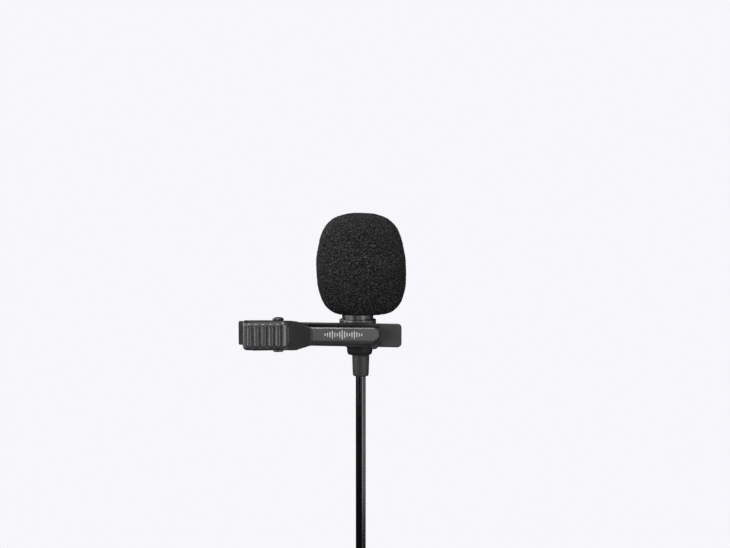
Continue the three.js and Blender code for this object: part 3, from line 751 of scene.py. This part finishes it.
# ------------------------------------------------------------------ tube, collar, tail cap, relief
C = (MIC_X, MIC_Y)
v, f = lathe(soften([(4.7, -4.3), (5.3, -4.3), (5.3, 4.4), (5.4, 4.5), (5.4, 9.0), (5.3, 9.3), (5.3, 26.0), (4.7, 26.0)], 0.12, closed=True), 128, C, True)
make("housing_tube_v", v, f, "tube", "microphone", "tube_metal", ["housing_tube"])
v, f = lathe(soften([(5.25, 3.1), (6.33, 3.1), (6.33, 4.66), (5.25, 4.66)], 0.16, 4, closed=True), 128, C, True)
make("collar_ring_v", v, f, "collar", "microphone", "tube_metal", ["collar_ring"])
plug_part = lathe([(1.9, -4.9), (4.28, -4.9), (4.28, -2.0), (1.9, -2.0)], 96, C, True)
tail = soften([(0, TAIL_CAP_Z0), (3.75, TAIL_CAP_Z0), (4.1, TAIL_CAP_Z0 + 0.22), (4.28, TAIL_CAP_Z0 + 0.7), (4.42, TAIL_CAP_Z0 + 1.4),
               (4.5, -5.3), (4.42, -5.2), (4.42, -5.0), (4.52, -4.9), (4.52, -4.5), (0, -4.5)], 0.1)
boss = lathe(tail, 96, (CAP_X, MIC_Y))
make("tail_cap_v", *join_parts([boss, plug_part]), "tail", "microphone", "boss_plastic", ["tail_cap"])
CC = (CORD_X, MIC_Y)
rel = [(1.7, RELIEF_Z0 + 0.5), (1.85, RELIEF_Z0), (2.3, RELIEF_Z0), (2.58, RELIEF_Z0 + 0.12), (2.72, RELIEF_Z0 + 0.4), (2.78, RELIEF_Z0 + 1.0), (2.86, RELIEF_Z0 + 3.0),
       (2.94, RELIEF_Z0 + 5.4), (3.0, RELIEF_Z1 - 0.3), (2.85, RELIEF_Z1 + 0.1), (2.85, TAIL_CAP_Z0 + 0.15), (1.7, TAIL_CAP_Z0 + 0.15)]
v, f = lathe(soften(rel, 0.1, closed=True), 96, CC, True)
make("strain_relief_v", v, f, "relief", "microphone", "relief_rubber", ["strain_relief"])

# ------------------------------------------------------------------ grille and what is inside the tube
cap_prof = [(4.7, 26.0), (5.28, 26.0), (5.28, 29.2), (5.1, 29.7), (4.6, 30.1), (3.9, 30.26), (0, 30.3), (0, 29.7), (3.8, 29.66), (4.35, 29.5), (4.7, 29.0)]
v, f = lathe(cap_prof[:7], 96, C)
v2, f2 = lathe(cap_prof[7:] + [cap_prof[0]], 96, C)
cap = make("grille_cap_v", *join_parts([(v, f), (v2, f2)]), "grille", "microphone", "grille_metal", ["grille_cap"], 40)
cutters = []
for i in range(-5, 6):
    for j in range(-5, 6):
        x, y = 0.95 * (i + 0.5 * j), 0.823 * j
        if math.hypot(x, y) < 3.9:
            cutters.append(lathe([(0, 28.0), (0.31, 28.0), (0.31, 31.5), (0, 31.5)], 12, (MIC_X + x, MIC_Y + y)))
cv, cf = join_parts(cutters)
cutter = make("cutter", cv, cf, "grille", None, None)
mod = cap.modifiers.new("holes", "BOOLEAN")
mod.operation = "DIFFERENCE"
mod.solver = "EXACT"
mod.object = cutter
dg = bpy.context.evaluated_depsgraph_get()
cut = bpy.data.meshes.new_from_object(cap.evaluated_get(dg))
cap.modifiers.clear()
cap.data = cut
even = cap.modifiers.new("even", "WEIGHTED_NORMAL")
even.keep_sharp = True
cut.materials.clear()
cut.materials.append(MAT["grille"])
for p in cut.polygons:
    p.use_smooth = True
cut.set_sharp_from_angle(angle=math.radians(32))
bpy.data.objects.remove(cutter)

INNER = [
    ("grille_cloth", [(0, 24.8), (4.4, 24.8), (4.4, 25.2), (0, 25.2)], False, "cloth", "cloth"),
    ("capsule_boot", [(3.3, 17.4), (4.4, 17.4), (4.4, 24.4), (3.3, 24.4)], True, "boot", "boot_rubber"),
    ("electret_capsule", [(0, 18.7), (2.7, 18.7), (2.85, 18.9), (3.0, 19.0), (3.0, 23.3), (2.7, 23.7), (1.0, 23.7), (1.0, 23.55), (0, 23.55)], False, "can", "capsule_can"),
    ("capsule_felt", [(0, 24.0), (2.7, 24.0), (2.7, 24.4), (0, 24.4)], False, "cloth", "cloth"),
    ("capsule_board", [(0, 17.6), (2.8, 17.6), (2.8, 18.4), (0, 18.4)], False, "board", "board"),
    ("cable_crimp", [(2.05, -1.7), (2.9, -1.7), (2.9, -1.2), (2.7, -1.1), (2.7, -0.5), (2.9, -0.4), (2.9, 0.2), (2.05, 0.2)], True, "crimp", "crimp_brass"),
    ("cable_stub", [(0, -14.0), (1.74, -14.0), (1.74, 0.5), (0, 0.5)], False, "cable", "cable_pvc"),
]
for name, prof, closed, mat, slot in INNER:
    v, f = lathe(soften(prof, 0.1, closed=closed), 72, CC if name.startswith("cable") else C, closed)
    make(name + "_v", v, f, mat, "microphone", slot, [name])
for name, x, mat, slot in (("signal_wire", -1.0, "red", "wire_red"), ("shield_wire", 1.0, "copper", "wire_copper")):
    pts = [(MIC_X + x + 0.12 * math.sin(k * 0.5), MIC_Y + 0.12 * math.cos(k * 0.5) * math.sin(math.pi * k / 30), 0.8 + 16.5 * k / 30) for k in range(31)]
    v, f = tube_along(pts, 0.42, 16)
    make(name + "_v", v, f, mat, "microphone", slot, [name])

# ------------------------------------------------------------------ ring behind the jaw
rx0, rx1 = 5.42, 6.6
section = []
sec = [(rx0 + 0.15, -3.9), (rx1 - 0.25, -3.9), (rx1, -3.65), (rx1, 2.75), (rx1 - 0.25, 3.0), (rx0 + 0.15, 3.0), (rx0, 2.85), (rx0, -3.75)]
ring_secs = []
for k in range(81):
    a = math.radians(110.0 + 320.0 * k / 80)
    ring_secs.append([(MIC_X + r * math.cos(a), MIC_Y + r * math.sin(a), zz) for r, zz in sec])
base = slab([(MIC_X - 5, -3.4), (MIC_X + 5, -3.4), (MIC_X + 5, 3.0), (MIC_X - 5, 3.0)], 2.55, 4.6, 0.05, 0.5, "xz", 4, 0.6)
make("mic_ring_v", *join_parts([loft(ring_secs), base]), "ring", "clip", "ring_metal", ["mic_ring"])

# ------------------------------------------------------------------ rear jaw
B0, BT, BX1, BEND, GX0, GDY, BH = 0.6, 2.0, 11.9, -30.0, -45.7, 3.7, 3.97


def rear_centre(x):
    return B0 + (GDY * ((BEND - x) / (BEND - GX0)) if x < BEND - 1.5 else GDY * (max(0.0, BEND + 1.5 - x) ** 2 / 6.0) / (BEND - GX0) if x < BEND + 1.5 else 0.0)


rib_x = [BEND - 3.0 - i * 2.4 for i in range(5)]


def rear_section(x):
    t0 = min(x - GX0, BX1 - x)
    er = 0.5
    inset = er - math.sqrt(max(0.0, er * er - (er - min(er, t0)) ** 2)) if t0 < er else 0.0
    cr = 0.4 if x < 0 else 1.3
    plan = cr - math.sqrt(max(0.0, cr * cr - (cr - min(cr, t0)) ** 2)) if t0 < cr else 0.0
    y0 = rear_centre(x) + inset * 0.8
    y1 = rear_centre(x) + BT - inset * 0.8
    ribs = 0.0
    for rc in rib_x:
        u = (x - rc) / 0.95
        if abs(u) < 1:
            ribs = max(ribs, 0.48 * math.sqrt(1 - u * u))
    hz = BH - plan
    low = -0.42 * smooth((-34.0 - x) / 5.0)
    hz += 0.16 * smooth((-34.0 - x) / 5.0)
    rr = min(0.5 - 0.05 * smooth((x + 23) / 2), 0.45 * (y1 - y0), 0.9 * hz)
    loop = []
    pocket = 0.95 * smooth((x + 21.5) / 1.5) * smooth((4.6 - x) / 0.8)
    for cy, cz, a0, a1 in ((y0 + rr, -hz + rr, 270, 180), (y0 + rr, hz - rr, 180, 90)):
        loop += [(x, cy + rr * math.cos(math.radians(a0 + (a1 - a0) * k / 6)), cz + rr * math.sin(math.radians(a0 + (a1 - a0) * k / 6))) for k in range(7)]
        if a0 == 270:
            loop += [(x, y0, -3.0), (x, y0 + pocket, -2.9), (x, y0 + pocket, 3.36), (x, y0, 3.46)]
    # back face, with ribs fading at both ends
    loop += [(x, y1 - rr + rr * math.cos(math.radians(90 - 90 * k / 6)), hz - rr + rr * math.sin(math.radians(90 - 90 * k / 6))) for k in range(7)]
    for k in range(1, 16):
        zz = (hz - rr) * (1 - 2 * k / 16)
        fade = smooth((hz - abs(zz) - 0.45) / 0.6)
        loop.append((x, y1 + ribs * fade, zz))
    loop += [(x, y1 - rr + rr * math.cos(math.radians(-90 * k / 6)), -hz + rr + rr * math.sin(math.radians(-90 * k / 6))) for k in range(7)]
    return [(a, b, c + low) for a, b, c in loop]


xs = [GX0 + 0.5 * (1 - math.cos(math.radians(a))) for a in range(0, 91, 10)]
xs += list(np.arange(GX0 + 1.0, BEND - 1.6, 0.12)) + list(np.arange(BEND - 1.6, BEND + 1.8, 0.25)) + list(np.arange(BEND + 2.0, BX1 - 1.4, 0.8))
xs += [BX1 - 1.3 * (1 - math.sin(math.radians(a))) for a in range(0, 91, 8)] + [BX1]
xs = sorted(set(round(x, 5) for x in xs))
rear = loft([rear_section(x) for x in xs])
ear_outline = [(-33.2, 2.0), (PIN_X - 2.0, PIN_Y)] + arc(PIN_X, PIN_Y, 2.0, 180, 360, 24) + [(-26.0, 2.0)]
ears = [slab(ear_outline, 2.6, 3.65, 0.15, 0.15, "xy", 3, 0.5), slab(ear_outline, -3.65, -2.6, 0.15, 0.15, "xy", 3, 0.5)]
make("rear_jaw_v", *join_parts([rear] + ears), "rear", "clip", "clip_grey", ["rear_jaw"], 30)
pad_outline = [(-2.4, -3.0), (4.9, -3.0), (4.9, 3.0), (-2.4, 3.0)]
v, f = slab([(-2.4 + 0.4, -2.6)] + arc(4.5, -2.2, 0.4, 270, 360, 5) + arc(4.5, 2.2, 0.4, 0, 90, 5) + arc(-2.0, 2.2, 0.4, 90, 180, 5) + arc(-2.0, -2.2, 0.4, 180, 270, 5), 0.15, 1.15, 0.2, 0.1)
teeth = []
for k in range(6):
    xx = -1.8 + k * 1.2
    teeth.append(slab([(xx, -2.3), (xx + 0.55, -2.3), (xx + 0.55, 2.3), (xx, 2.3)], 0.02, 0.5, 0.12, 0.02))
make("rear_jaw_pad_v", *join_parts([(v, f)] + teeth), "pad", "clip", "pad_rubber", ["rear_jaw_pad"])

# ------------------------------------------------------------------ front jaw
OUTER = [(-40.15, -10.0), (-40.12, -10.4), (-39.98, -10.85), (-39.75, -11.12), (-39.45, -11.3), (-39.1, -11.35), (-38.85, -11.28), (-38.72, -11.1),
         (-38.62, -10.9), (-38.55, -10.62), (-27.45, -7.03), (-26.0, -6.64), (-25.4, -6.56),
         (-24.8, -6.53), (-24.3, -6.49), (-23.4, -6.42), (-18.0, -6.1), (4.8, -3.49), (5.2, -3.35), (5.5, -2.9)]
INNER_Y = [(-40.15, -9.75), (-29.6, -6.15), (-23.5, -5.0), (-18.0, -4.1), (5.0, -1.52), (5.3, -1.9)]
ARM_LO, ARM_HI = -2.9, 3.02
LIP = [(-27.6, 0.0), (-27.45, 0.3), (-27.25, 0.47), (-26.98, 0.54), (-26.75, 0.53), (-26.45, 0.40), (-26.15, 0.27), (-25.9, 0.20), (-25.5, 0.08), (-25.1, 0.0), (10.0, 0.0)]
TOP = [(-40.15, 4.6), (-40.1, 4.9), (-39.95, 5.18), (-39.7, 5.34), (-39.4, 5.42), (-33.0, 5.36), (-24.6, 5.12), (-24.0, 5.02), (-23.3, 4.98), (-22.5, 4.86), (-21.6, 4.55),
       (-18.6, 3.32), (-18.0, 3.15), (-17.2, 3.05), (-16.4, 3.02), (2.2, 3.02)]
BOT = [(-40.15, 2.9), (-40.07, 3.4), (-39.9, 3.8), (-39.6, 4.2), (-39.2, 4.48), (-38.6, 4.67), (-37.9, 4.74), (-30.0, 4.8), (-24.1, 4.84), (-23.5, 4.82), (-22.8, 4.72), (-22.0, 4.53),
       (-17.6, 3.12), (-17.0, 2.97), (-16.2, 2.9), (2.2, 2.9)]
THUMB = [-37.75, -35.45, -33.15, -30.85, -28.55]
PIVOT_ARM = 2.2


def half_height(x, top):
    if x < PIVOT_ARM:
        return interp(x, TOP if top else BOT)
    mid, r = (ARM_HI + ARM_LO) / 2, (ARM_HI - ARM_LO) / 2
    c = math.sqrt(max(0.0, 1 - ((x - PIVOT_ARM) / r) ** 2))
    return mid + r * c if top else -mid + r * c


def thumb_rib(x, top, low):
    """Height of the nearest rib at x, where top and low are the distances to the jaw's two edges."""
    best = 0.0
    for rc in THUMB:
        ends = min(top - 1.1, low - 0.85) - 1.04
        u = x - rc + 0.13
        d = 1.04 - (math.hypot(u, ends) if ends < 0 else abs(u))
        if d > 0:
            best = max(best, 0.62 * math.sqrt(1 - (1 - min(1.0, d / 0.48)) ** 2) - 0.10 * smooth((d - 0.5) / 0.4))
    return best


def thumb_lip(x, top, low):
    d = min(top - 0.55, low - 0.75) - max(0.0, 1.3 - math.sqrt(max(0.0, 1.3 ** 2 - max(0.0, x + 27.0) ** 2)))
    return interp(x, LIP) * smooth(d / 0.6)


def front_section(x):
    ht, hb = half_height(x, True), half_height(x, False)
    ht, hb = max(ht, 0.02), max(hb, 0.02)
    yo, yi = interp(x, OUTER), interp(x, INNER_Y)
    arm = smooth((x + 24) / 4)
    grip = smooth((-25.5 - x) / 2)
    ro = min(0.12 + 0.70 * arm + 0.68 * grip, 0.42 * (ht + hb), 0.8 * (yi - yo))
    ri = min(0.25, 0.2 * (ht + hb))
    loop = []
    n = 7
    for k in range(n + 1):          # lower outer edge, from the side round to the face
        a = math.radians(90 * k / n)
        loop.append((x, yo + ro * (1 - math.sin(a)), -hb + ro * (1 - math.cos(a))))
    z0, z1 = -hb + ro, ht - ro
    for k in range(1, 60):          # closer together towards both ends
        zz = z0 + (z1 - z0) * (0.5 - 0.5 * math.cos(math.pi * k / 60)) * 0.6 + (z1 - z0) * 0.4 * k / 60
        loop.append((x, yo, zz))
    for k in range(n + 1):
        a = math.radians(90 * k / n)
        loop.append((x, yo + ro * (1 - math.cos(a)), ht - ro * (1 - math.sin(a))))
    if x < -24.5:
        loop = [(a, b - max(thumb_rib(x, ht - c, c + hb) if x > -38.75 else 0.0, thumb_lip(x, ht - c, c + hb) if x > -27.65 else 0.0), c) for a, b, c in loop]
    loop += [(x, yi - ri, ht), (x, yi - 0.3 * ri, ht - 0.3 * ri), (x, yi, ht - ri), (x, yi, -hb + 0.65 * (ht + hb)), (x, yi, -hb + 0.35 * (ht + hb)), (x, yi, -hb + ri), (x, yi - 0.3 * ri, -hb + 0.3 * ri), (x, yi - ri, -hb)]
    return loop


xs = [x for x, _ in OUTER if x < 5] + [x for x, _ in BOT] + [x for x, _ in TOP]
xs += list(np.arange(-40.15, -38.5, 0.08)) + list(np.arange(-38.5, -24.0, 0.07)) + list(np.arange(-24.0, -16.4, 0.2)) + list(np.arange(-16.4, 2.2, 0.9))
xs += [2.2 + 3.05 * math.sin(math.radians(a)) for a in range(0, 90, 4)] + [5.2495]
xs = sorted(set(round(float(x), 5) for x in xs))
plate = loft([front_section(x) for x in xs])
wall = [(-37.0, -9.2), (-31.9, PIN_Y + 0.9)] + arc(PIN_X, PIN_Y, 2.45, 157, 23, 16) + [(-22.4, -5.1), (-26.5, -6.5), (-30.0, -7.1)]
walls = [slab(wall, 4.05, 4.58, 0.1, 0.2, "xy", 3, 0.5), slab(wall, -4.885, -4.25, 0.2, 0.1, "xy", 3, 0.5)]
make("front_jaw_v", *join_parts([plate] + walls), "front", "front_jaw", "clip_grey", ["front_jaw"], 40)

# pad and tooth under the arm
tooth = arc(3.1, -3.1, 1.4, 180, 360, 20)
wedge_secs = []
for x in np.linspace(-2.4, 4.9, 16):
    yb = -1.30 - (5.6 - x) * (2.65 / 23.6)
    e = min(x + 2.4, 4.9 - x, 0.35)
    c = 0.35 - math.sqrt(max(0.0, 0.35 ** 2 - (0.35 - e) ** 2))
    wedge_secs.append([(x, yb, -2.6 + c), (x, yb, 2.6 - c), (x, -0.3, 2.6 - c), (x, -0.15, 2.45 - c), (x, -0.15, -2.45 + c), (x, -0.3, -2.6 + c)])
tooth_part = slab([(1.7, -2.2), (1.7, -3.1)] + tooth + [(4.5, -2.2)], -1.55, -0.2, 0.3, 0.15, "xz", 5, 0.25)
make("front_jaw_pad_v", *join_parts([loft(wedge_secs), tooth_part]), "rear", "front_jaw", "clip_grey", ["front_jaw_pad"], 35)

# ------------------------------------------------------------------ nameplate with a plain level-meter mark
plate_m = Matrix.Translation((-6.2, -4.75 - 0.3 / math.cos(TILT), 0.72)) @ Matrix.Rotation(TILT, 4, "Z")
outline = [(-11.2, -2.4), (9.1, -2.4)] + arc(9.1, 0, 2.4, -90, 90, 40) + [(-11.2, 2.4)] + arc(-11.2, 2.1, 0.3, 90, 180, 4) + arc(-11.2, -2.1, 0.3, 180, 270, 4)
v, f = slab(outline, -0.8, 0.35, 0.62, 0.05, "xz", 10, 0.35)
make("nameplate_v", v, f, "plate", "front_jaw", "plate_grey", ["nameplate"], 50, plate_m)
bars = []
heights = [0.5, 0.9, 1.5, 2.3, 1.2, 0.7, 1.7, 2.7, 1.9, 1.0, 0.6, 1.3, 2.1, 1.4, 0.8, 0.5]
for k, hh in enumerate(heights):
    x = -6.6 + k * 0.82
    w = 0.19
    o = [(x - w, -hh / 2 - 0.1)] + arc(x, -hh / 2, w, 180, 360, 6) + arc(x, hh / 2, w, 0, 180, 6)
    bars.append(slab(o, -0.83, -0.7, 0.02, 0.02, "xz", 2, 0.3))
v, f = join_parts(bars)
v = [(a, b, c + 0.0) for a, b, c in v]
make("level_mark", v, f, "print", "front_jaw", "plate_grey", (), 40, plate_m)

# ------------------------------------------------------------------ pin, washer and spring
P = (PIN_X, PIN_Y)
v, f = lathe(soften([(0, -5.74), (0.92, -5.74), (1.0, -5.64), (1.0, 5.0), (1.88, 5.0), (1.95, 5.4), (1.78, 5.7), (1.38, 5.92), (0.8, 6.04), (0, 6.08)], 0.08), 64, P)
make("hinge_pin_v", v, f, "pin", "clip", "pin_metal", ["hinge_pin"])
v, f = lathe(soften([(1.02, -5.68), (1.66, -5.68), (1.72, -5.5), (1.72, -4.95), (1.02, -4.95)], 0.07, closed=True), 64, P, True)
make("pin_retainer_v", v, f, "pin", "clip", "pin_metal", ["pin_retainer"])
rad = math.pi / 180
start, total = 290.1 * rad, (139.5 + 4 * 360) * rad
R = 1.9
pts = []
a0 = (R * math.cos(start), R * math.sin(start))
a1 = (R * math.cos(start + total), R * math.sin(start + total))
fe, be = (-7.4, -4.74), (-8.4, 5.14)
for k in range(12):
    t = k / 12
    pts.append((PIN_X + fe[0] + (a0[0] - fe[0]) * t, PIN_Y + fe[1] + (a0[1] - fe[1]) * t, -1.95))
n = 260
for k in range(n + 1):
    a = start + total * k / n
    pts.append((PIN_X + R * math.cos(a), PIN_Y + R * math.sin(a), -1.95 + 3.9 * k / n))
for k in range(1, 13):
    t = k / 12
    pts.append((PIN_X + a1[0] + (be[0] - a1[0]) * t, PIN_Y + a1[1] + (be[1] - a1[1]) * t, 1.95))
v, f = tube_along(pts, 0.34, 14)
spring = make("torsion_spring_v", v, f, "spring", None, None, ["torsion_spring"], 60)
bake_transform(spring)

# ------------------------------------------------------------------ floor, world and lights
floor_v, floor_f = lathe([(0, 0), (60, 0), (150, 0), (260, 0), (380, 0), (400, -1.2), (402, -3), (400, -4), (0, -4)], 128, (MIC_X, MIC_Y))
floor_v = [(a, b, c - 196.0) for a, b, c in floor_v]
MAT["floor"] = moulded("floor", (0.80, 0.795, 0.82), 0.7, 0.02, 300, 0.02, spec=0.2, smudge=6)
floor = make("floor", floor_v, floor_f, "floor", None, None)
floor.visible_diffuse = False
floor.visible_glossy = False

world = bpy.data.worlds.new("studio")
bpy.context.scene.world = world
world.use_nodes = True
nt = world.node_tree
nt.nodes.clear()
out = nt.nodes.new("ShaderNodeOutputWorld")
path = nt.nodes.new("ShaderNodeLightPath")
mix = nt.nodes.new("ShaderNodeMixShader")
seen = nt.nodes.new("ShaderNodeBackground")
seen.inputs["Color"].default_value = (0.935, 0.925, 0.965, 1)
seen.inputs["Strength"].default_value = 1.0
amb = nt.nodes.new("ShaderNodeBackground")
amb.inputs["Color"].default_value = (0.95, 0.95, 1.0, 1)
amb.inputs["Strength"].default_value = 0.045
nt.links.new(path.outputs["Is Camera Ray"], mix.inputs[0])
nt.links.new(amb.outputs[0], mix.inputs[1])
nt.links.new(seen.outputs[0], mix.inputs[2])
nt.links.new(mix.outputs[0], out.inputs[0])


def area(name, az, el, dist, size, power, aim=(0, 0, 0.005)):
    d = bpy.data.lights.new(name, "AREA")
    d.shape = "RECTANGLE"
    d.size, d.size_y = size
    d.energy = power
    o = bpy.data.objects.new(name, d)
    bpy.context.scene.collection.objects.link(o)
    a, e = math.radians(az), math.radians(el)
    aim = Vector(aim)
    pos = aim + Vector((math.sin(a) * math.cos(e), -math.cos(a) * math.cos(e), math.sin(e))) * dist
    o.location = pos
    o.rotation_euler = (aim - pos).to_track_quat("-Z", "Y").to_euler()
    return o


area("top_front", 0, 62, 0.8, (0.35, 0.30), 3.0)
area("top", 0, 88, 0.7, (0.32, 0.22), 4.6)
area("key_right", 52, -6, 0.8, (0.30, 0.34), 2.1)
area("rim_right", 94, -13.5, 0.8, (0.46, 0.14), 0.65)
area("front_low", 12, -2, 0.8, (0.20, 0.17), 0.5)
area("fill_left", -42, 3, 0.8, (0.40, 0.26), 1.9)
area("rim_left", -76, 2, 0.8, (0.24, 0.23), 1.5)
area("under", 0, -50, 0.8, (0.6, 0.4), 0.5)
area("back", 232, 26, 0.9, (0.7, 0.45), 5.0)

bpy.context.scene.view_settings.view_transform = "Standard"
bpy.context.scene.view_settings.look = "None"

print("CABLE LENGTH m", round(LENGTH, 4))
